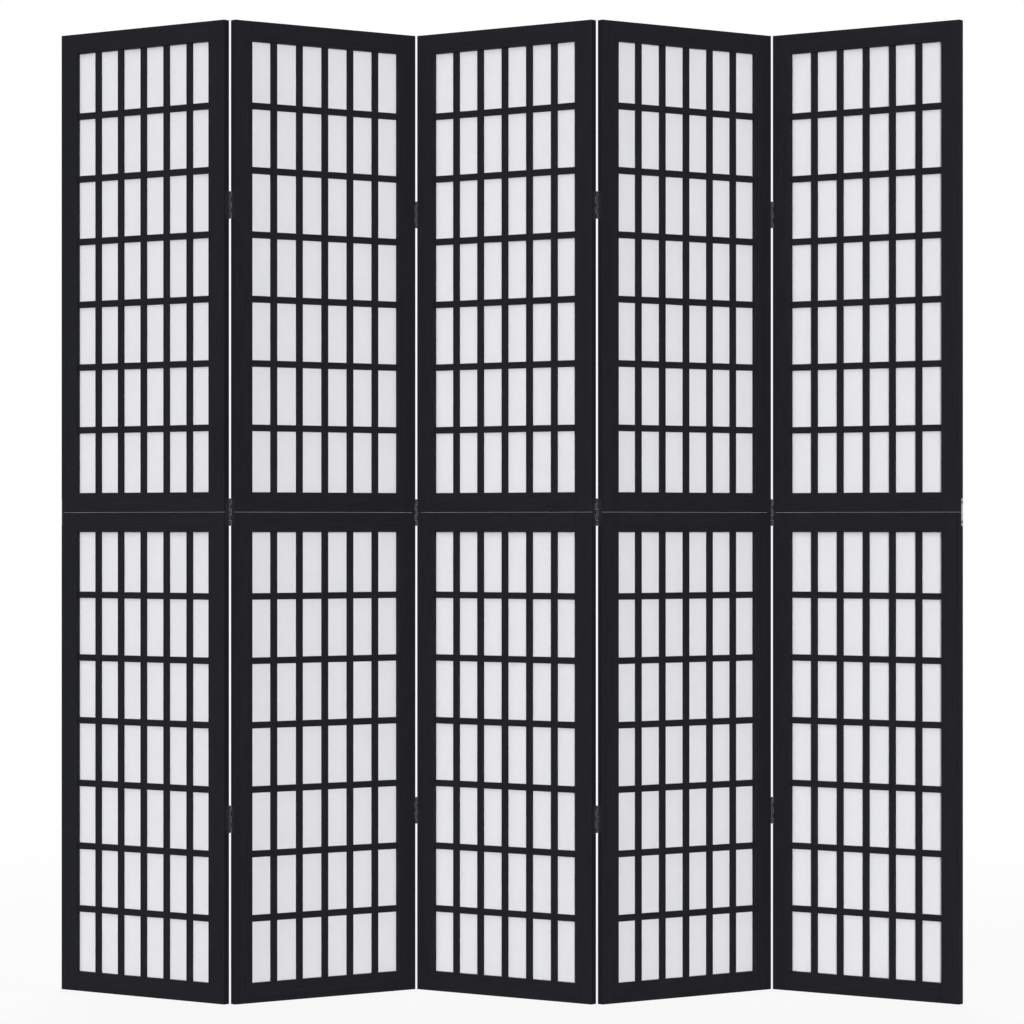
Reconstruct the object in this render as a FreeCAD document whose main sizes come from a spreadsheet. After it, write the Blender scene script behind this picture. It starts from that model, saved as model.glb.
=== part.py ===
import FreeCAD
import Part
import os
import re

# A free-standing folding screen of five panels, hinged edge to edge and set out in a zigzag.
# Each panel is two half-height frames, one on the other, with a half-lapped lattice and a
# fabric sheet behind it. Millimetres, +Z up, the front towards -Y. The origin is on the floor
# under the middle of the third panel, which is the middle of the screen.

PANELS = 5
UPRIGHTS = 5
CROSSBARS = 6
KNUCKLES = 5
MIDDLE_PANEL = (PANELS + 1) // 2

SIZES = {
    # the screen
    "panel_width": 401,
    "screen_height": 1800,
    "panel_thickness": 14,
    "panel_turn": 36,  # degrees by which a panel stands out of the flat
    "seam_gap": 0.2,  # between the lower and the upper half frame
    # frame members
    "stile_width": 38,
    "rail_height": 36.5,
    "rabbet_width": 8,
    "lattice_setback": 3.5,  # from the front of the frame to the front of the lattice
    "tenon_wall": 20,  # wood left outside the tenon's tip
    "tenon_shoulder": 4,
    "tenon_thickness": 5,
    "joint_clearance": 0.1,
    # lattice, fabric and beads
    "bar_width": 12,
    "bar_depth": 6,
    "bar_end_gap": 0.5,
    "lap_clearance": 0.1,
    "fabric_thickness": 0.4,
    "fabric_margin": 1,
    # hinges
    "hinge_height": 50,
    "hinge_spacing": 562,  # from the middle hinge to the upper and lower ones
    "barrel_diameter": 5,
    "leaf_thickness": 1.1,
    "leaf_cover": 10.5,  # how far a leaf reaches over the edge of its stile
    "leaf_clearance": 0.2,
    "knuckle_gap": 0.2,
    "barrel_clearance": 0.15,
    "pin_proud": 0.7,  # pin axis outside the face that folds inwards
    "pin_diameter": 2.4,
    "pin_clearance": 0.05,
    "pin_end_height": 0.4,
    # screws
    "screw_pitch": 17.8,
    "screw_length": 12,
    "screw_head_diameter": 5,
    "screw_shank_diameter": 2.6,
    "screw_tip_length": 3,
    "screw_clearance": 0.05,
    "recess_length": 2.8,
    "recess_width": 0.7,
    "recess_depth": 0.8,
    # joining plates on the two free edges
    "plate_height": 50,
    "plate_width": 6,
    "plate_thickness": 1.2,
}

WORKED_OUT = {
    "front_face": "-panel_thickness / 2",
    "back_face": "panel_thickness / 2",
    "end_face": "panel_width / 2",
    "half_height": "(screen_height - seam_gap) / 2",
    "upper_base": "half_height + seam_gap",
    "mid_height": "screen_height / 2",
    "stile_edge": "end_face - stile_width",
    "rabbet_edge": "stile_edge + rabbet_width",
    "rabbet_start": "rail_height - rabbet_width",
    "rabbet_end": "half_height - rabbet_start",
    "bar_front": "front_face + lattice_setback",
    "lap_plane": "bar_front + bar_depth / 2",
    "bar_back": "bar_front + bar_depth",
    "fabric_back": "bar_back + fabric_thickness",
    "tenon_tip": "end_face - tenon_wall",
    "tenon_width": "rail_height - rabbet_width - 2 * tenon_shoulder",
    "pane_width": f"(2 * stile_edge - {UPRIGHTS} * bar_width) / {UPRIGHTS + 1}",
    "crossbar_pitch": f"(half_height - 2 * rail_height) / {CROSSBARS + 1}",
    "barrel_radius": "barrel_diameter / 2",
    "pin_radius": "pin_diameter / 2",
    "pin_setoff": "barrel_radius - leaf_thickness",
    "pin_across": "end_face + pin_setoff",
    "pin_depth": "back_face + pin_proud",
    "leaf_reach": "pin_proud + leaf_cover",
    "notch_reach": "barrel_radius + barrel_clearance",
    "hinge_half": "hinge_height / 2",
    "knuckle_slot": f"hinge_height / {KNUCKLES}",
    "head_radius": "screw_head_diameter / 2",
    "shank_radius": "screw_shank_diameter / 2",
    "head_height": "head_radius - shank_radius",
    "panel_pitch": "2 * (pin_across * cos(panel_turn) + pin_depth * sin(panel_turn))",
}

HALVES = {"lower": "0", "upper": "upper_base"}

# The height of each hinge, and its screws counted up or down from there in screw pitches.
HINGES = {
    "lower": ("mid_height - hinge_spacing", (-1, 0, 1)),
    "middle": ("mid_height", (-1, 1)),
    "upper": ("mid_height + hinge_spacing", (-1, 0, 1)),
}
PLATE_SCREWS = (-1, 1)

# The face of the screen that each joining plate is flush with.
PLATE_FACES = {"left": "front", "right": "back"}

doc = FreeCAD.newDocument("folding_screen")
nodes = []


def formula(text):
    """Turn the plain names in a formula into references to the sheet and the worked-out sizes."""
    def reference(match):
        word = match.group()
        if word in SIZES:
            return f"Sizes.{word}"
        if word in WORKED_OUT:
            return f"Worked.{word}"
        return word
    return re.sub(r"[a-z_]+", reference, text)


def write_sizes():
    sheet = doc.addObject("Spreadsheet::Sheet", "Sizes")
    for row, (name, value) in enumerate(SIZES.items(), start=1):
        sheet.set(f"A{row}", name)
        sheet.set(f"B{row}", str(value))
        sheet.setAlias(f"B{row}", name)
    worked = doc.addObject("App::VarSet", "Worked")
    for name in WORKED_OUT:
        worked.addProperty("App::PropertyFloat", name)
    for name, text in WORKED_OUT.items():
        worked.setExpression(name, formula(text))


def block(name, x, y, z):
    """A box between two planes on each axis."""
    box = doc.addObject("Part::Box", name)
    for side, axis, (low, high) in (("Length", "x", x), ("Width", "y", y), ("Height", "z", z)):
        box.setExpression(side, formula(f"({high}) - ({low})"))
        box.setExpression(f"Placement.Base.{axis}", formula(low))
    return box


def rod(name, radius, low, high):
    """A round bar on the Z axis."""
    cylinder = doc.addObject("Part::Cylinder", name)
    cylinder.setExpression("Radius", formula(radius))
    cylinder.setExpression("Height", formula(f"({high}) - ({low})"))
    cylinder.setExpression("Placement.Base.z", formula(low))
    return cylinder


def taper(name, low_radius, high_radius, low, high):
    """A cone or part of one on the Z axis."""
    cone = doc.addObject("Part::Cone", name)
    cone.setExpression("Radius1", formula(low_radius))
    cone.setExpression("Radius2", formula(high_radius))
    cone.setExpression("Height", formula(f"({high}) - ({low})"))
    cone.setExpression("Placement.Base.z", formula(low))
    return cone


def group(name, pieces):
    compound = doc.addObject("Part::Compound", name)
    compound.Links = pieces
    return compound


def fuse(name, pieces):
    fusion = doc.addObject("Part::MultiFuse", name)
    fusion.Shapes = pieces
    return fusion


def cut(name, base, tool):
    remainder = doc.addObject("Part::Cut", name)
    remainder.Base = base
    remainder.Tool = tool
    return remainder


def place(thing, spot, axis, angle):
    """Move a group to a spot and turn it about an axis, both given as formulas."""
    text = f"placement(vector({'; '.join(spot)}); rotation(vector({'; '.join(axis)}); {angle}))"
    thing.setExpression("Placement", formula(text))
    return thing


def node(name, panel, pieces):
    """One named sub-part, set out with the panel that it belongs to."""
    part = group(name, pieces)
    part.Label = name
    turn = "-panel_turn" if panel % 2 else "panel_turn"
    place(part, (f"{panel - MIDDLE_PANEL} * panel_pitch", "0", "0"), ("0", "0", "1"), turn)
    nodes.append(part)


def sided(side, near, far):
    """A span in X, measured out from the middle to the left or to the right."""
    if side == "right":
        return near, far
    return f"-({far})", f"-({near})"


def inward_from(edge, near, far):
    """A span in Y, measured into the wood from the front or the back face."""
    if edge == "front":
        return f"front_face + {near}", f"front_face + {far}"
    return f"back_face - ({far})", f"back_face - ({near})"


def tenon_feet(base):
    """The lower edges of a half frame's two tenons."""
    return {
        "bottom": f"{base} + tenon_shoulder",
        "top": f"{base} + half_height - tenon_shoulder - tenon_width",
    }


def screw():
    """A countersunk screw, its head's flat face at the origin and its tip towards +Z."""
    tip_start = "screw_length - screw_tip_length"
    body = fuse("screw_body", [
        taper("screw_head", "head_radius", "shank_radius", "0", "head_height"),
        rod("screw_shank", "shank_radius", "head_height", tip_start),
        taper("screw_tip", "shank_radius", "0", tip_start, "screw_length"),
    ])
    long_way = ("-recess_length / 2", "recess_length / 2")
    short_way = ("-recess_width / 2", "recess_width / 2")
    deep = ("0", "recess_depth")
    slotted = cut("screw_slotted", body, block("screw_slot", long_way, short_way, deep))
    return cut("screw", slotted, block("screw_cross_slot", short_way, long_way, deep))


def screw_hole():
    """The space for one screw, a little wider all round."""
    return fuse("screw_hole", [
        taper("hole_sink", "head_radius + screw_clearance", "shank_radius + screw_clearance",
              "0", "head_height"),
        rod("hole_bore", "shank_radius + screw_clearance", "0", "screw_length + screw_clearance"),
    ])


def screw_heights(fixing):
    """The heights of the screws along a stile's edge, under hinge leaves or a joining plate."""
    if fixing == "plate":
        return [f"mid_height + {step} * screw_pitch" for step in PLATE_SCREWS]
    return [f"{height} + {step} * screw_pitch" for height, steps in HINGES.values() for step in steps]


def plate_span(side, slack):
    """How a joining plate lies across the stile and over the seam."""
    wide = inward_from(PLATE_FACES[side], "0", f"(plate_width + {slack})")
    tall = (f"mid_height - plate_height / 2 - {slack}", f"mid_height + plate_height / 2 + {slack}")
    return wide, tall


def along_edge(name, piece, side, fixing):
    """Copies of a screw or its hole along one edge of a panel, pointing into the wood."""
    across = "end_face" if side == "right" else "-end_face"
    angle = "-90" if side == "right" else "90"
    depth = "0"
    if fixing == "plate":
        (low, high), _ = plate_span(side, "0")
        depth = f"({low} + {high}) / 2"
    copies = []
    for count, height in enumerate(screw_heights(fixing)):
        copy = group(f"{name}_{side}_{fixing}_{count}", [piece])
        copies.append(place(copy, (across, depth, height), ("0", "1", "0"), angle))
    return group(f"{name}s_{side}_{fixing}", copies)


def plain_stiles(side):
    """The lower and upper stile on one side, notched for the crossbars and mortised for the rails."""
    blanks = []
    hollows = []
    slack = "joint_clearance"
    for half, base in HALVES.items():
        name = f"{side}_{half}_stile"
        blanks.append(block(f"{name}_blank", sided(side, "stile_edge", "end_face"),
                            ("front_face", "back_face"), (base, f"{base} + half_height")))
        rabbet = sided(side, "stile_edge", "rabbet_edge")
        hollows.append(block(f"{name}_rabbet", rabbet, ("bar_back", "back_face"),
                             (f"{base} + rabbet_start", f"{base} + rabbet_end")))
        for count in range(CROSSBARS):
            hollows.append(block(f"{name}_notch_{count}", rabbet, ("bar_front", "bar_back"),
                                 widened(crossbar_span(base, count))))
        for end, foot in tenon_feet(base).items():
            hollows.append(block(f"{name}_{end}_mortise",
                                 sided(side, "stile_edge", f"tenon_tip + {slack}"),
                                 (f"-tenon_thickness / 2 - {slack}", f"tenon_thickness / 2 + {slack}"),
                                 (f"{foot} - {slack}", f"{foot} + tenon_width + {slack}")))
    return cut(f"{side}_stiles_plain", group(f"{side}_stile_blanks", blanks),
               group(f"{side}_stile_hollows", hollows))


def leaf_beds(side, edge):
    """Beds for three leaves in a stile's edge, with the corner cut away to clear the barrel."""
    beds = []
    for hinge, (height, _) in HINGES.items():
        name = f"{side}_{edge}_{hinge}"
        tall = (f"{height} - hinge_half - leaf_clearance", f"{height} + hinge_half + leaf_clearance")
        floor = "end_face - leaf_thickness"
        beds.append(block(f"{name}_bed", sided(side, floor, "end_face"),
                          inward_from(edge, "0", "(leaf_cover + leaf_clearance)"), tall))
        beds.append(block(f"{name}_relief", sided(side, f"{floor} - barrel_clearance", floor),
                          inward_from(edge, "0", "(notch_reach - pin_proud)"), tall))
    return group(f"{side}_{edge}_beds", beds)


def joining_plate(side, holes):
    """A flush metal strip that ties the two halves together on a free edge."""
    wide, tall = plate_span(side, "0")
    blank = block(f"{side}_plate_blank", sided(side, "end_face - plate_thickness", "end_face"), wide, tall)
    return cut(f"{side}_plate", blank, holes)


def plate_bed(side):
    wide, tall = plate_span(side, "leaf_clearance")
    return block(f"{side}_plate_bed", sided(side, "end_face - plate_thickness", "end_face"), wide, tall)


def rails():
    """Bottom and top rail of both halves, tenoned at the ends and notched for the uprights."""
    members = []
    hollows = []
    for half, base in HALVES.items():
        top = f"{base} + half_height"
        spans = {"bottom": (base, f"{base} + rail_height"), "top": (f"{top} - rail_height", top)}
        openings = {"bottom": (f"{base} + rabbet_start", f"{base} + rail_height"),
                    "top": (f"{top} - rail_height", f"{base} + rabbet_end")}
        for end, foot in tenon_feet(base).items():
            name = f"{half}_{end}_rail"
            members.append(fuse(name, [
                block(f"{name}_blank", ("-stile_edge", "stile_edge"),
                      ("front_face", "back_face"), spans[end]),
                block(f"{name}_tenons", ("-tenon_tip", "tenon_tip"),
                      ("-tenon_thickness / 2", "tenon_thickness / 2"), (foot, f"{foot} + tenon_width")),
            ]))
            hollows.append(block(f"{name}_rabbet", ("-stile_edge", "stile_edge"),
                                 ("bar_back", "back_face"), openings[end]))
            for count in range(UPRIGHTS):
                hollows.append(block(f"{name}_notch_{count}", widened(upright_span(count)),
                                     ("bar_front", "bar_back"), openings[end]))
    return cut("rails", group("rail_blanks", members), group("rail_hollows", hollows))


def upright_span(count):
    left = f"-stile_edge + {count + 1} * pane_width + {count} * bar_width"
    return left, f"{left} + bar_width"


def crossbar_span(base, count):
    middle = f"{base} + rail_height + {count + 1} * crossbar_pitch"
    return f"{middle} - bar_width / 2", f"{middle} + bar_width / 2"


def widened(span):
    low, high = span
    return f"{low} - lap_clearance", f"{high} + lap_clearance"


def lattice():
    """Uprights notched at the back and crossbars notched at the front, so that they lie flush."""
    uprights = []
    crossbars = []
    upright_notches = []
    crossbar_notches = []
    for count in range(UPRIGHTS):
        crossbar_notches.append(block(f"crossbar_notch_{count}", widened(upright_span(count)),
                                      ("bar_front", "lap_plane"), ("0", "screen_height")))
    for half, base in HALVES.items():
        tall = (f"{base} + rabbet_start + bar_end_gap", f"{base} + rabbet_end - bar_end_gap")
        wide = ("-rabbet_edge + bar_end_gap", "rabbet_edge - bar_end_gap")
        deep = ("bar_front", "bar_back")
        for count in range(UPRIGHTS):
            uprights.append(block(f"{half}_upright_{count}", upright_span(count), deep, tall))
        for count in range(CROSSBARS):
            span = crossbar_span(base, count)
            crossbars.append(block(f"{half}_crossbar_{count}", wide, deep, span))
            upright_notches.append(block(f"{half}_upright_notch_{count}", ("-rabbet_edge", "rabbet_edge"),
                                         ("lap_plane", "bar_back"), widened(span)))
    return (
        cut("uprights", group("upright_blanks", uprights), group("upright_notches", upright_notches)),
        cut("crossbars", group("crossbar_blanks", crossbars), group("crossbar_notches", crossbar_notches)),
    )


def fabric():
    """One sheet for each half, stretched behind the lattice and held in the rabbet."""
    sheets = []
    wide = ("-rabbet_edge + fabric_margin", "rabbet_edge - fabric_margin")
    for half, base in HALVES.items():
        tall = (f"{base} + rabbet_start + fabric_margin", f"{base} + rabbet_end - fabric_margin")
        sheets.append(block(f"{half}_fabric", wide, ("bar_back", "fabric_back"), tall))
    return group("fabric", sheets)


def beads():
    """Strips that fill the rabbet behind the fabric, flush with the back of the frame."""
    strips = []
    deep = ("fabric_back", "back_face")
    for half, base in HALVES.items():
        tall = (f"{base} + rabbet_start", f"{base} + rabbet_end")
        for side in ("left", "right"):
            strips.append(block(f"{half}_{side}_bead", sided(side, "stile_edge", "rabbet_edge"), deep, tall))
        opening = ("-stile_edge", "stile_edge")
        strips.append(block(f"{half}_bottom_bead", opening, deep,
                            (f"{base} + rabbet_start", f"{base} + rail_height")))
        strips.append(block(f"{half}_top_bead", opening, deep,
                            (f"{base} + half_height - rail_height", f"{base} + rabbet_end")))
    return group("beads", strips)


def knuckle_span(slot, slack):
    return (f"-hinge_half + {slot} * knuckle_slot + {slack}",
            f"-hinge_half + {slot + 1} * knuckle_slot - {slack}")


def leaf(side, hinge, own_slots, hole):
    """A hinge leaf for one end of a panel, its barrel on the Z axis and its plate towards +Y."""
    name = f"{side}_{hinge}_leaf"
    wood_side = "left" if side == "right" else "right"
    thick = sided(wood_side, "pin_setoff", "barrel_radius")
    plate = block(f"{name}_plate", thick, ("0", "leaf_reach"), ("-hinge_half", "hinge_half"))
    other_slots = [slot for slot in range(KNUCKLES) if slot not in own_slots]
    notches = [block(f"{name}_notch_{slot}", thick, ("0", "notch_reach"),
                     knuckle_span(slot, "-knuckle_gap / 2")) for slot in other_slots]
    notched = cut(f"{name}_notched", plate, group(f"{name}_notches", notches))
    knuckles = [rod(f"{name}_knuckle_{slot}", "barrel_radius", *knuckle_span(slot, "knuckle_gap / 2"))
                for slot in own_slots]
    blank = fuse(f"{name}_blank", [notched] + knuckles)
    holes = [rod(f"{name}_bore", "pin_radius + pin_clearance", "-hinge_half", "hinge_half")]
    face = "pin_setoff" if wood_side == "right" else "-pin_setoff"
    angle = "90" if wood_side == "right" else "-90"
    for step in HINGES[hinge][1]:
        copy = group(f"{name}_hole_{step + 1}", [hole])
        holes.append(place(copy, (face, "pin_depth", f"{step} * screw_pitch"), ("0", "1", "0"), angle))
    return cut(name, blank, group(f"{name}_holes", holes))


def hinge_pin():
    """A plain pin, its two ends peened to a shallow cone just outside the barrel."""
    small = "pin_radius - pin_end_height"
    return fuse("hinge_pin", [
        taper("pin_foot", small, "pin_radius", "-hinge_half - pin_end_height", "-hinge_half"),
        rod("pin_shaft", "pin_radius", "-hinge_half", "hinge_half"),
        taper("pin_crown", "pin_radius", small, "hinge_half", "hinge_half + pin_end_height"),
    ])


def on_fold(name, side, edge, pieces):
    """One hinge piece for each of the three heights, on the fold at one end of a panel."""
    across = "pin_across" if side == "right" else "-pin_across"
    depth = "-pin_depth" if edge == "front" else "pin_depth"
    angle = "0" if edge == "front" else "180"
    copies = []
    for hinge, (height, _) in HINGES.items():
        copy = group(f"{side}_{edge}_{hinge}_{name}", [pieces[hinge]])
        copies.append(place(copy, (across, depth, height), ("1", "0", "0"), angle))
    return group(f"{side}_{edge}_{name}s", copies)


def fold_edges(panel):
    """What lies on the left and the right edge of a panel: a free edge or a fold's inner face."""
    left, right = ("front", "back") if panel % 2 else ("back", "front")
    if panel == 1:
        left = "free"
    if panel == PANELS:
        right = "free"
    return {"left": left, "right": right}


def build():
    one_screw = screw()
    one_hole = screw_hole()
    own_slots = {"right": range(0, KNUCKLES, 2), "left": range(1, KNUCKLES, 2)}
    hinge_pins = dict.fromkeys(HINGES, hinge_pin())
    stiles, screws, leaves, pins, plates = {}, {}, {}, {}, {}
    for side in ("left", "right"):
        plain = plain_stiles(side)
        leaf_holes = along_edge("hole", one_hole, side, "leaves")
        plate_holes = along_edge("hole", one_hole, side, "plate")
        screws[side, "leaves"] = along_edge("screw", one_screw, side, "leaves")
        screws[side, "plate"] = along_edge("screw", one_screw, side, "plate")
        plates[side] = joining_plate(side, plate_holes)
        bedded = cut(f"{side}_free_bedded", plain, plate_bed(side))
        stiles[side, "free"] = cut(f"{side}_free_stiles", bedded, plate_holes)
        hinge_leaves = {hinge: leaf(side, hinge, own_slots[side], one_hole) for hinge in HINGES}
        for edge in ("front", "back"):
            bedded = cut(f"{side}_{edge}_bedded", plain, leaf_beds(side, edge))
            stiles[side, edge] = cut(f"{side}_{edge}_stiles", bedded, leaf_holes)
            leaves[side, edge] = on_fold("leaf", side, edge, hinge_leaves)
    for edge in ("front", "back"):
        pins[edge] = on_fold("pin", "right", edge, hinge_pins)
    frame_rails = rails()
    uprights, crossbars = lattice()
    sheets = fabric()
    strips = beads()
    for panel in range(1, PANELS + 1):
        edges = fold_edges(panel)
        fixings = {side: "plate" if edge == "free" else "leaves" for side, edge in edges.items()}
        node(f"panel_{panel}_left_stiles", panel, [stiles["left", edges["left"]]])
        node(f"panel_{panel}_right_stiles", panel, [stiles["right", edges["right"]]])
        node(f"panel_{panel}_rails", panel, [frame_rails])
        node(f"panel_{panel}_uprights", panel, [uprights])
        node(f"panel_{panel}_crossbars", panel, [crossbars])
        node(f"panel_{panel}_fabric", panel, [sheets])
        node(f"panel_{panel}_beads", panel, [strips])
        node(f"panel_{panel}_screws", panel, [screws[side, fixing] for side, fixing in fixings.items()])
    for fold in range(1, PANELS):
        edge = fold_edges(fold)["right"]
        node(f"fold_{fold}_left_leaves", fold, [leaves["right", edge]])
        node(f"fold_{fold}_right_leaves", fold + 1, [leaves["left", edge]])
        node(f"fold_{fold}_pins", fold, [pins[edge]])
    node("left_edge_plate", 1, [plates["left"]])
    node("right_edge_plate", PANELS, [plates["right"]])


def check():
    """Stop if any object failed or any sub-part has no sound shape."""
    for thing in doc.Objects:
        if {"Invalid", "Error"} & set(thing.State):
            raise RuntimeError(f"{thing.Label} failed: {thing.State}")
    for part in nodes:
        if part.Shape.isNull() or not part.Shape.isValid():
            raise RuntimeError(f"{part.Label} has no sound shape")


def write_parts():
    os.makedirs("parts", exist_ok=True)
    for part in nodes:
        part.Shape.exportStep(f"parts/{part.Label}.step")
        print(part.Label, len(part.Shape.Solids), "solids", round(part.Shape.Volume), "mm3")


write_sizes()
build()
doc.recompute()
check()
write_parts()
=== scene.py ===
# The folding screen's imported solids: five lattice panels, hinged edge to edge and set out in a
# zigzag. Everything below is put on these solids, in metres, in the order of assembly.

import bmesh
import bpy
import math
import random
from mathutils import Matrix, Vector, noise


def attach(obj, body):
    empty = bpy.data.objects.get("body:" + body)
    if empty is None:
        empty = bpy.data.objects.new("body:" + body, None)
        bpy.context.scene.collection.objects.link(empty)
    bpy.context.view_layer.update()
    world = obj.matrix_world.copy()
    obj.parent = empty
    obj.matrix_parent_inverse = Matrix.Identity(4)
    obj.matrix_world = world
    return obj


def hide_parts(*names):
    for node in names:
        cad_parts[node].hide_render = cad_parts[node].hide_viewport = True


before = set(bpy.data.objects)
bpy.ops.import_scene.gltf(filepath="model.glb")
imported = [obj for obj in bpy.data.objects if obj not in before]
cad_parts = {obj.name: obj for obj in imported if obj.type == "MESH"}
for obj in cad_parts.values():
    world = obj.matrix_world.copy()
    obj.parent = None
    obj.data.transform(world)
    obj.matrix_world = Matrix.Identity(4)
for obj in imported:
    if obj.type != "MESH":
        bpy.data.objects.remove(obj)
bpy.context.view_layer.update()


# Stiles: the upright members at both sides of each half frame. Planed softwood with eased arrises,
# stained black and finished with a thin satin lacquer. Each is mortised for the rails' tenons.

PANELS = range(1, 6)
PANEL_TURN = math.radians(36)
SIDES = ("left", "right")
STILE_ARRIS = 0.0004
ARRIS_STEPS = 2
MERGE_DISTANCE = 1e-6
FLAT_ANGLE = math.radians(0.5)
BOX_SLACK = 1e-5

STAIN_DEEP = (0.0128, 0.0132, 0.0163, 1)
STAIN_THIN = (0.0214, 0.0220, 0.0267, 1)
RUBBED_WOOD = (0.034, 0.030, 0.027, 1)
GRAIN_STRETCH = 0.022
ALONG_UPRIGHT = (1, 1, GRAIN_STRETCH)
BOARD_NUMBERS = 50
FIBRE = {"fineness": 900, "detail": 3}
FIBRE_SHARE = 0.82
BAND = {"fineness": 60, "detail": 2}
BAND_SHARE = 0.18
SPECKLE_REACH = (0.3, 0.7)
RUB = {"fineness": 28, "detail": 4}
RUB_REACH = (0.48, 0.72)
RUB_SHARE = 0.5
LACQUER_ROUGHNESS = 0.56
FIGURE_POLISH = 0.2
LACQUER_GLOSS = 0.018
PORE_BUMP = {"strength": 0.35, "depth": 0.00008}


def turn_of(panel):
    """The angle about the vertical at which a panel stands: the panels turn to and fro."""
    return -PANEL_TURN if panel % 2 else PANEL_TURN


class Wire:
    """A socket in a node tree. Sums on it add Math nodes."""

    def __init__(self, tree, socket=None):
        self.tree = tree
        self.socket = socket

    def node(self, kind, settings, values, output=0):
        """Add a node, set it up, fill or link its sockets, and give one of its outputs."""
        made = self.tree.nodes.new(kind)
        for name, setting in settings.items():
            setattr(made, name, setting)
        for name, value in values.items():
            if isinstance(value, Wire):
                self.tree.links.new(value.socket, made.inputs[name])
            else:
                made.inputs[name].default_value = value
        return Wire(self.tree, made.outputs[output] if made.outputs else None)

    def maths(self, operation, first, second):
        """A Math node on two values."""
        return self.node("ShaderNodeMath", {"operation": operation}, {0: first, 1: second})

    def __add__(self, other):
        return self.maths("ADD", self, other)

    def __radd__(self, other):
        return self.maths("ADD", other, self)

    def __sub__(self, other):
        return self.maths("SUBTRACT", self, other)

    def __rsub__(self, other):
        return self.maths("SUBTRACT", other, self)

    def __mul__(self, other):
        return self.maths("MULTIPLY", self, other)

    def __rmul__(self, other):
        return self.maths("MULTIPLY", other, self)

    def scaled(self, factors):
        """A vector with each of its axes multiplied."""
        return self.node("ShaderNodeVectorMath", {"operation": "MULTIPLY"}, {0: self, 1: factors})

    def mixed(self, low, high):
        """A colour between two others, by this value."""
        # A Mix node's colours are its inputs 6 and 7 and its output 2. Input 0 is its factor.
        return self.node("ShaderNodeMix", {"data_type": "RGBA"}, {0: self, 6: low, 7: high}, output=2)

    def ranged(self, start, end):
        """This value spread out from 0 at start to 1 at end."""
        return self.node("ShaderNodeMapRange", {}, {"Value": self, "From Min": start, "From Max": end})

    def bumped(self, strength, depth):
        """A surface normal that takes this value for height."""
        return self.node("ShaderNodeBump", {},
                         {"Strength": strength, "Distance": depth, "Height": self})


def new_finish(name):
    """An empty material, and a wire on its node tree."""
    finish = bpy.data.materials.new(name)
    finish.use_nodes = True
    finish.node_tree.nodes.clear()
    return finish, Wire(finish.node_tree)


def speckle(wire, place, detail, fineness=1, board=None):
    """Soft random mottling. With a board's number, it differs from board to board."""
    values = {"Vector": place, "Scale": fineness, "Detail": detail}
    if board is None:
        return wire.node("ShaderNodeTexNoise", {}, values)
    return wire.node("ShaderNodeTexNoise", {"noise_dimensions": "4D"}, {**values, "W": board})


def black_wood(name, turn, along):
    """Stained wood with its grain along one of the panel's own axes, rubbed on the arrises."""
    finish, wire = new_finish(name)
    place = wire.node("ShaderNodeTexCoord", {}, {}, output="Object")
    place = wire.node("ShaderNodeMapping", {}, {"Vector": place, "Rotation": (0, 0, -turn)})
    board = wire.node("ShaderNodeAttribute", {"attribute_name": "board"}, {}, output="Fac")
    arris = wire.node("ShaderNodeAttribute", {"attribute_name": "arris"}, {}, output="Fac")
    grain = place.scaled(along)
    fibre = speckle(wire, grain, **FIBRE, board=board)
    band = speckle(wire, grain, **BAND, board=board)
    figure = fibre * FIBRE_SHARE + band * BAND_SHARE
    rubbed = arris * speckle(wire, place, **RUB, board=board).ranged(*RUB_REACH)
    stain = figure.ranged(*SPECKLE_REACH).mixed(STAIN_DEEP, STAIN_THIN)
    surface = wire.node("ShaderNodeBsdfPrincipled", {}, {
        "Base Color": (rubbed * RUB_SHARE).mixed(stain, RUBBED_WOOD),
        "Roughness": LACQUER_ROUGHNESS - figure * FIGURE_POLISH,
        "Specular IOR Level": LACQUER_GLOSS,
        "Normal": figure.bumped(**PORE_BUMP),
    })
    wire.node("ShaderNodeOutputMaterial", {}, {"Surface": surface})
    return finish


def solids_in(mesh):
    """The faces of a mesh, gathered into its solids. Where solids touch, four faces share an edge."""
    unseen = set(mesh.faces)
    solids = []
    for start in mesh.faces:
        if start not in unseen:
            continue
        unseen.discard(start)
        solid = [start]
        # The list grows as the walk reaches new faces.
        for face in solid:
            for edge in face.edges:
                neighbours = edge.link_faces if len(edge.link_faces) == 2 else ()
                for neighbour in neighbours:
                    if neighbour in unseen:
                        unseen.discard(neighbour)
                        solid.append(neighbour)
        solids.append(solid)
    return solids


def box_round(solid):
    """The lowest and the highest corner of a solid."""
    points = [corner.co for face in solid for corner in face.verts]
    low = Vector([min(point[axis] for point in points) for axis in range(3)])
    high = Vector([max(point[axis] for point in points) for axis in range(3)])
    return low, high


def outer_arrises(solid):
    """The edges of a solid that lie on two sides of the box round it."""
    low, high = box_round(solid)

    def touched(point):
        sides = set()
        for axis in range(3):
            for side in (low[axis], high[axis]):
                if abs(point.co[axis] - side) < BOX_SLACK:
                    sides.add((axis, side))
        return sides

    # Each edge once, in the order of the faces.
    edges = dict.fromkeys(edge for face in solid for edge in face.edges)
    return [edge for edge in edges if len(touched(edge.verts[0]) & touched(edge.verts[1])) > 1]


def joined_copy(node, turn):
    """A copy of a node's mesh as separate solids, their triangles joined, squared up to the axes."""
    mesh = bmesh.new()
    mesh.from_mesh(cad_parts[node].data)
    bmesh.ops.remove_doubles(mesh, verts=mesh.verts, dist=MERGE_DISTANCE)
    for solid in solids_in(mesh):
        bmesh.ops.split(mesh, geom=solid)
    bmesh.ops.rotate(mesh, cent=(0, 0, 0), matrix=Matrix.Rotation(-turn, 3, "Z"), verts=mesh.verts)
    bmesh.ops.dissolve_limit(mesh, angle_limit=FLAT_ANGLE, verts=mesh.verts, edges=mesh.edges)
    return mesh


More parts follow.
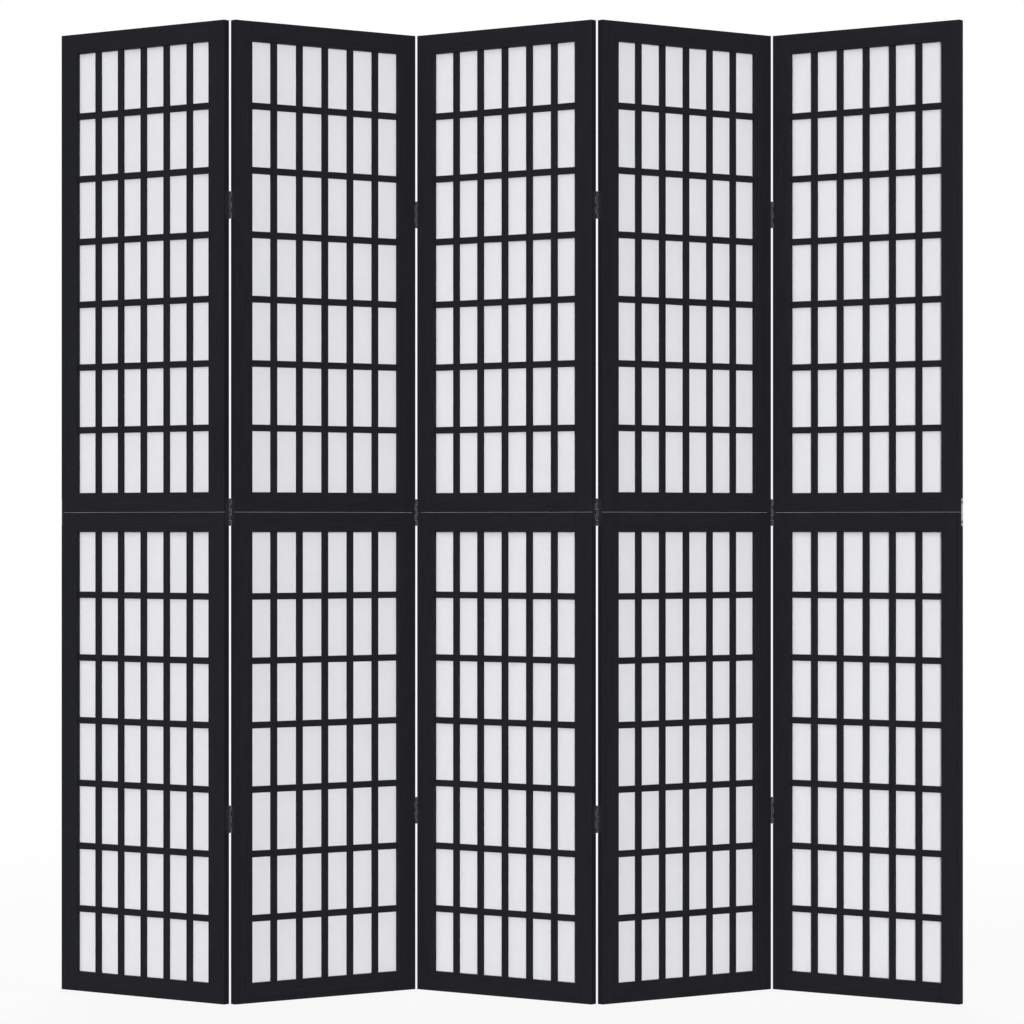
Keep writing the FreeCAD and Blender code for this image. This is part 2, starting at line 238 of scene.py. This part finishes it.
def shown(name, mesh, turn, finishes, body):
    """Turn a mesh back to where its panel stands, and show it as a piece that rides on the panel."""
    bmesh.ops.rotate(mesh, cent=(0, 0, 0), matrix=Matrix.Rotation(turn, 3, "Z"), verts=mesh.verts)
    data = bpy.data.meshes.new(name)
    mesh.to_mesh(data)
    mesh.free()
    for finish in finishes:
        data.materials.append(finish)
    piece = bpy.data.objects.new(name, data)
    bpy.context.scene.collection.objects.link(piece)
    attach(piece, body)
    return piece


def eased_wood(node, panel, width, finish, level_finish=None):
    """Replace a node by its own shape with the outer arrises taken off, as with a block plane.

    Strips that lie level may have a finish of their own.
    """
    turn = turn_of(panel)
    mesh = joined_copy(node, turn)
    board = mesh.faces.layers.float.new("board")
    arris = mesh.faces.layers.float.new("arris")
    chance = random.Random(node)
    edges = []
    for solid in solids_in(mesh):
        number = chance.uniform(0, BOARD_NUMBERS)
        low, high = box_round(solid)
        lies_level = high.x - low.x > high.z - low.z
        for face in solid:
            face[board] = number
            face.material_index = 1 if level_finish and lies_level else 0
        edges += outer_arrises(solid)
    eased = bmesh.ops.bevel(mesh, geom=edges, affect="EDGES", offset=width, offset_type="OFFSET",
                            segments=ARRIS_STEPS, profile=0.5, material=-1, clamp_overlap=True)
    for face in eased["faces"]:
        face[arris] = 1
    finishes = [finish, level_finish] if level_finish else [finish]
    piece = shown(f"{node}_eased", mesh, turn, finishes, f"panel_{panel}")
    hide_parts(node)


upright_wood = black_wood("black_wood_upright", 0, ALONG_UPRIGHT)
for panel in PANELS:
    for side in SIDES:
        eased_wood(f"panel_{panel}_{side}_stiles", panel, STILE_ARRIS, upright_wood)


# Rails: the level members at the bottom and the top of each half frame. The same black-stained
# softwood as the stiles, with the grain across, glued into the stiles by a tenon at each end.

ALONG_LEVEL = (GRAIN_STRETCH, 1, 1)
level_wood = {turn: black_wood(f"black_wood_level_{side}", turn, ALONG_LEVEL)
              for side, turn in zip(SIDES, (-PANEL_TURN, PANEL_TURN))}
for panel in PANELS:
    eased_wood(f"panel_{panel}_rails", panel, STILE_ARRIS, level_wood[turn_of(panel)])


# Lattice: five upright and six level strips in each half frame. Thin black-stained strips, halved
# over each other so that they lie flush, their ends let into notches in the back of the frame.

STRIP_ARRIS = 0.0003
for panel in PANELS:
    eased_wood(f"panel_{panel}_uprights", panel, STRIP_ARRIS, upright_wood)
    eased_wood(f"panel_{panel}_crossbars", panel, STRIP_ARRIS, level_wood[turn_of(panel)])


# Fabric: one sheet behind the lattice of each half frame. A thin white plain weave of slightly
# uneven yarns that lets light through, stretched over the rabbet and clamped round its edge.

SHEET_WIDTH = 0.339
SHEET_LENGTH = 0.8409
CLOTH_THICKNESS = 0.0003
CLOTH_CELL = 0.008
CLAMPED_EDGE = 0.010
SLACK_DEPTH = 0.0006
SLACK_FINENESS = 9

YARN_PITCH = 0.0007
WAVE_PERIOD = math.pi / 10
ROW_SHARE = 0.35
SLUB_SHORT = 700
SLUB_LONG = 14
SLUB_DETAIL = 2
SLUB_SHARE = 0.65
WEAVE_REACH = (0.2, 0.8)
YARN_SHADE = (0.800, 0.804, 0.818, 1)
YARN_LIGHT = (0.905, 0.905, 0.914, 1)
YARN_ROUGHNESS = 0.9
YARN_GLOSS = 0.15
YARN_SHEEN = 0.1
YARN_BUMP = {"strength": 0.25, "depth": 0.0001}
CLOTH_GLOW = (0.90, 0.90, 0.905, 1)
GLOW_SHARE = 0.32


def white_fabric():
    """Warp and weft in even rows with uneven slubs, on a cloth that glows with light from behind."""
    finish, wire = new_finish("white_fabric")
    place = wire.node("ShaderNodeUVMap", {"uv_map": "cut"}, {})
    yarns = {}
    for name, direction, stretch in (("warp", "X", (SLUB_SHORT, SLUB_LONG, 1)),
                                     ("weft", "Y", (SLUB_LONG, SLUB_SHORT, 1))):
        # At a scale of one, a wave texture repeats every WAVE_PERIOD.
        rows = wire.node("ShaderNodeTexWave", {"bands_direction": direction},
                         {"Vector": place, "Scale": WAVE_PERIOD / YARN_PITCH}, output="Fac")
        slub = speckle(wire, place.scaled(stretch), SLUB_DETAIL)
        yarns[name] = rows * ROW_SHARE + slub * SLUB_SHARE
    weave = (yarns["warp"] + yarns["weft"]) * 0.5
    cloth = wire.node("ShaderNodeBsdfPrincipled", {}, {
        "Base Color": weave.ranged(*WEAVE_REACH).mixed(YARN_SHADE, YARN_LIGHT),
        "Roughness": YARN_ROUGHNESS,
        "Specular IOR Level": YARN_GLOSS,
        "Sheen Weight": YARN_SHEEN,
        "Normal": weave.bumped(**YARN_BUMP),
    })
    glow = wire.node("ShaderNodeBsdfTranslucent", {}, {"Color": CLOTH_GLOW})
    surface = wire.node("ShaderNodeMixShader", {}, {0: GLOW_SHARE, 1: cloth, 2: glow})
    wire.node("ShaderNodeOutputMaterial", {}, {"Surface": surface})
    return finish


def cloth_between(low, high, seed):
    """A flat cut of cloth inside a box, with a little slack towards the back away from its edge."""
    mesh = bmesh.new()
    # The grid starts as a square with sides of one, and is then stretched to the box.
    bmesh.ops.create_grid(mesh, x_segments=round(SHEET_WIDTH / CLOTH_CELL),
                          y_segments=round(SHEET_LENGTH / CLOTH_CELL), size=0.5)
    cut = mesh.loops.layers.uv.new("cut")
    size = high - low
    middle = (low + high) / 2
    for point in mesh.verts:
        across = point.co.x * size.x
        up = point.co.y * size.z
        for corner in point.link_loops:
            corner[cut].uv = (across, up)
        free = min(size.x / 2 - abs(across), size.z / 2 - abs(up)) - CLAMPED_EDGE
        ease = min(max(free / CLAMPED_EDGE, 0), 1)
        wave = noise.noise(Vector((across * SLACK_FINENESS, up * SLACK_FINENESS, seed)))
        slack = SLACK_DEPTH * ease * (1 + wave) / 2
        point.co = middle + Vector((across, slack, up))
    bmesh.ops.recalc_face_normals(mesh, faces=mesh.faces)
    for face in mesh.faces:
        face.smooth = True
    return mesh


white_cloth = white_fabric()
for panel in PANELS:
    turn = turn_of(panel)
    node = f"panel_{panel}_fabric"
    solid_mesh = joined_copy(node, turn)
    for solid in solids_in(solid_mesh):
        low, high = box_round(solid)
        half = "upper" if low.z > SHEET_LENGTH else "lower"
        cloth = cloth_between(low, high, panel + low.z)
        sheet = shown(f"{node}_{half}", cloth, turn, [white_cloth], f"panel_{panel}")
        thicken = sheet.modifiers.new("thickness", "SOLIDIFY")
        thicken.thickness = CLOTH_THICKNESS
        thicken.offset = 0
        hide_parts(node)
    solid_mesh.free()


# Beads: four strips round the back of each opening. Square black-stained softwood, pressed into
# the rabbet behind the fabric to clamp it, and flush with the back of the frame.

BEAD_ARRIS = 0.0004
for panel in PANELS:
    eased_wood(f"panel_{panel}_beads", panel, BEAD_ARRIS, upright_wood, level_wood[turn_of(panel)])


# Hinge leaves: two steel plates for each of the three butt hinges on a fold, rolled round the pin.
# Pressed steel with a thin black enamel, let in flush and held by two or three screws.

FOLDS = range(1, 5)
ENAMEL = {"dark": (0.026, 0.026, 0.029, 1), "pale": (0.034, 0.034, 0.038, 1),
          "roughness": 0.12, "gloss": 0.5}
CLOUD = {"fineness": 220, "detail": 4}
CLOUD_DULLING = 0.12
CLOUD_BUMP = {"strength": 0.1, "depth": 0.00003}


def black_enamel(name, dark, pale, roughness, gloss):
    """Steel under a black coat with a faintly cloudy shine."""
    finish, wire = new_finish(name)
    place = wire.node("ShaderNodeTexCoord", {}, {}, output="Object")
    cloud = speckle(wire, place, **CLOUD)
    surface = wire.node("ShaderNodeBsdfPrincipled", {}, {
        "Base Color": cloud.ranged(*SPECKLE_REACH).mixed(dark, pale),
        "Roughness": roughness + cloud * CLOUD_DULLING,
        "Specular IOR Level": gloss,
        "Normal": cloud.bumped(**CLOUD_BUMP),
    })
    wire.node("ShaderNodeOutputMaterial", {}, {"Surface": surface})
    return finish


def finish_node(node, finish):
    """Give a node that keeps its own shape its finish."""
    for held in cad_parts[node].material_slots:
        held.material = finish


hinge_enamel = black_enamel("hinge_enamel", **ENAMEL)
for fold in FOLDS:
    for side in SIDES:
        finish_node(f"fold_{fold}_{side}_leaves", hinge_enamel)


# Hinge pins: a plain steel rod through the knuckles of each hinge, peened over at both ends.
# It has the same black enamel as the leaves.

for fold in FOLDS:
    finish_node(f"fold_{fold}_pins", hinge_enamel)


# Joining plates: a flush strip over the seam on each of the two free edges, which ties the lower
# and the upper half together. Bright steel, brushed along its length, held by two screws.

BRUSHED_DARK = (0.40, 0.40, 0.41, 1)
BRUSHED_PALE = (0.52, 0.52, 0.53, 1)
BRUSH_STROKE = (2500, 2500, 40)
BRUSH_DETAIL = 3
BRUSHED_ROUGHNESS = 0.26
BRUSH_DULLING = 0.16
BRUSH_BUMP = {"strength": 0.15, "depth": 0.00003}


def brushed_steel():
    """Bare steel with fine upright strokes."""
    finish, wire = new_finish("brushed_steel")
    place = wire.node("ShaderNodeTexCoord", {}, {}, output="Object")
    stroke = speckle(wire, place.scaled(BRUSH_STROKE), BRUSH_DETAIL)
    surface = wire.node("ShaderNodeBsdfPrincipled", {}, {
        "Base Color": stroke.ranged(*SPECKLE_REACH).mixed(BRUSHED_DARK, BRUSHED_PALE),
        "Metallic": 1.0,
        "Roughness": BRUSHED_ROUGHNESS + stroke * BRUSH_DULLING,
        "Normal": stroke.bumped(**BRUSH_BUMP),
    })
    wire.node("ShaderNodeOutputMaterial", {}, {"Surface": surface})
    return finish


plate_finish = brushed_steel()
for side in SIDES:
    finish_node(f"{side}_edge_plate", plate_finish)


# Screws: small countersunk wood screws with a cross recess, in every leaf and joining plate.
# Steel with a thicker, duller black coat.

SCREW_COAT = {"dark": (0.010, 0.010, 0.011, 1), "pale": (0.020, 0.020, 0.022, 1),
              "roughness": 0.38, "gloss": 0.2}
screw_coat = black_enamel("screw_coat", **SCREW_COAT)
for panel in PANELS:
    finish_node(f"panel_{panel}_screws", screw_coat)


# Floor: a wide pale floor, white where the camera looks at it, which keeps a faint shadow near the
# screen. Beyond it is a plain white room.

FLOOR_HALF = 40
FLOOR_GREY = (0.25, 0.25, 0.25, 1)
FLOOR_SEEN = (0.95, 0.95, 0.95, 1)
WHITE = (1, 1, 1, 1)
SHADOW_NEAR = 1.0
SHADOW_FAR = 4.0
SHADOW_SHARE = 0.10


def seen_directly(wire):
    """One for what the camera sees straight on, in a reflection or through glass, otherwise none."""
    share = wire.node("ShaderNodeLightPath", {}, {}, output="Is Camera Ray")
    for ray in ("Is Glossy Ray", "Is Transmission Ray"):
        seen = wire.node("ShaderNodeLightPath", {}, {}, output=ray)
        share = wire.maths("MAXIMUM", share, seen)
    return share


def pale_floor():
    """White with a share of real floor in it, which takes the shadow and fades out further away."""
    finish, wire = new_finish("pale_floor")
    place = wire.node("ShaderNodeTexCoord", {}, {}, output="Object")
    away = wire.node("ShaderNodeVectorMath", {"operation": "LENGTH"}, {0: place}, output="Value")
    kept = (1 - away.ranged(SHADOW_NEAR, SHADOW_FAR)) * SHADOW_SHARE
    seen = seen_directly(wire)
    ground = wire.node("ShaderNodeBsdfDiffuse", {}, {"Color": seen.mixed(FLOOR_GREY, FLOOR_SEEN)})
    white = wire.node("ShaderNodeEmission", {}, {"Color": WHITE, "Strength": 1.0})
    surface = wire.node("ShaderNodeMixShader", {},
                        {0: seen * (1 - kept), 1: ground, 2: white})
    wire.node("ShaderNodeOutputMaterial", {}, {"Surface": surface})
    return finish


floor_mesh = bmesh.new()
bmesh.ops.create_grid(floor_mesh, x_segments=1, y_segments=1, size=FLOOR_HALF)
floor_data = bpy.data.meshes.new("floor")
floor_mesh.to_mesh(floor_data)
floor_mesh.free()
floor_data.materials.append(pale_floor())
floor = bpy.data.objects.new("floor", floor_data)
bpy.context.scene.collection.objects.link(floor)


# Studio light: a dim even room, a light from nearly straight in front, a softer one from above on
# the left, and one from behind that shines through the fabric. No lamp mirrors in the hardware.

ROOM_GREY = (0.08, 0.08, 0.08, 1)
FRONT_LIGHT = {"strength": 2.6, "spread": 6, "azimuth": 4, "height": 4}
TOP_LIGHT = {"strength": 0.7, "spread": 25, "azimuth": -45, "height": 40}
BACK_LIGHT = {"strength": 2.8, "spread": 40, "azimuth": 184, "height": 25}


def far_light(name, strength, spread, azimuth, height):
    """A distant light: degrees to the right of the front, and above the floor."""
    lamp = bpy.data.lights.new(name, "SUN")
    lamp.energy = strength
    lamp.angle = math.radians(spread)
    light = bpy.data.objects.new(name, lamp)
    # A lamp that isn't turned shines straight down.
    light.rotation_euler = (math.radians(90 - height), 0, math.radians(azimuth))
    light.visible_glossy = False
    bpy.context.scene.collection.objects.link(light)


far_light("front_light", **FRONT_LIGHT)
far_light("top_light", **TOP_LIGHT)
far_light("back_light", **BACK_LIGHT)

room = bpy.data.worlds.new("white_room")
room.use_nodes = True
room.node_tree.nodes.clear()
room_wire = Wire(room.node_tree)
room_colour = seen_directly(room_wire).mixed(ROOM_GREY, WHITE)
room_light = room_wire.node("ShaderNodeBackground", {}, {"Color": room_colour, "Strength": 1.0})
room_wire.node("ShaderNodeOutputWorld", {}, {"Surface": room_light})
bpy.context.scene.world = room
bpy.context.scene.view_settings.view_transform = "Standard"


# Camera: a long lens from straight in front, just under mid-height. The camera is level, and the
# lens is shifted a little so that the screen fills the picture.

LENS = 135.1
SENSOR = 36
LENS_SHIFT = (0.0070, 0.0146)
CAMERA_PLACE = (-0.0007, -7.144, 0.8728)
LEVEL_VIEW = (math.radians(90), 0, 0)
camera_data = bpy.data.cameras.new("camera")
camera_data.lens = LENS
camera_data.sensor_width = SENSOR
camera_data.shift_x, camera_data.shift_y = LENS_SHIFT
camera = bpy.data.objects.new("camera", camera_data)
camera.location = CAMERA_PLACE
camera.rotation_euler = LEVEL_VIEW
bpy.context.scene.collection.objects.link(camera)
bpy.context.scene.camera = camera
